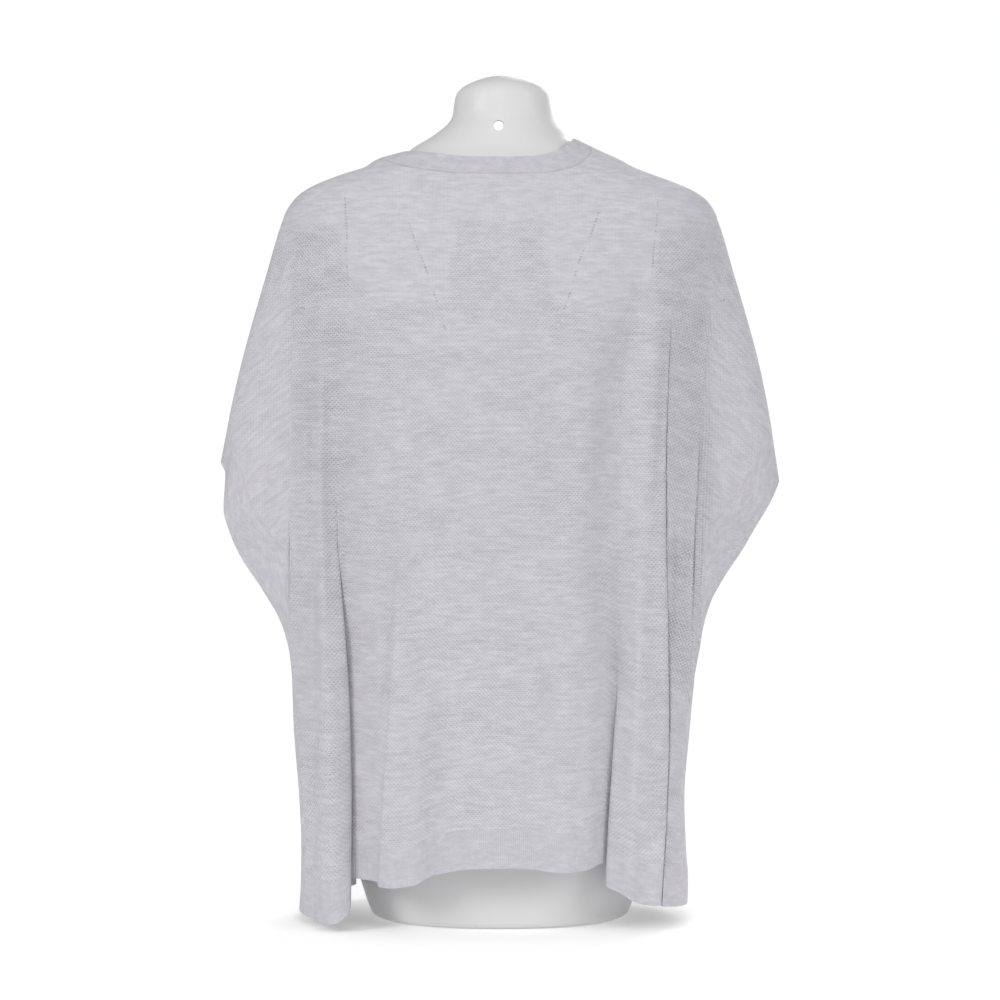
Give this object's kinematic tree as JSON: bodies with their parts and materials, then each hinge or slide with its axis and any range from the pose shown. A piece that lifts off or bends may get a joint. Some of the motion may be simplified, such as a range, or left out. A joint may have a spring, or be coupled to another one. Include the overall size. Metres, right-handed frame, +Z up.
{
  "type": "pullover sweater on a limbless dress form",
  "caption": "Wide batwing pullover of fine openwork knit with short dropped sleeves and a boat neck, hanging in loose folds from a smooth white torso dress form.",
  "frame": {"origin": "middle of the dress form's flat base, on the surface that it stands on", "axes": "+Z up; the wearer's back faces -Y and the front +Y; +X to the wearer's right"},
  "size_m": [0.558, 0.263, 0.8395],
  "materials": {
    "openwork_knit": "soft matt marl yarn, fine openwork stitch",
    "plain_knit": "soft matt marl yarn, fine plain stitch",
    "form_plastic": "smooth white moulded plastic, satin"
  },
  "bodies": {
    "root": {"back_panel": "openwork_knit", "front_panel": "openwork_knit", "neckband": "plain_knit", "cuff_left": "plain_knit", "cuff_right": "plain_knit", "hem_band_back": "plain_knit", "hem_band_front": "plain_knit", "dress_form": "form_plastic"}
  },
  "joints": []
}
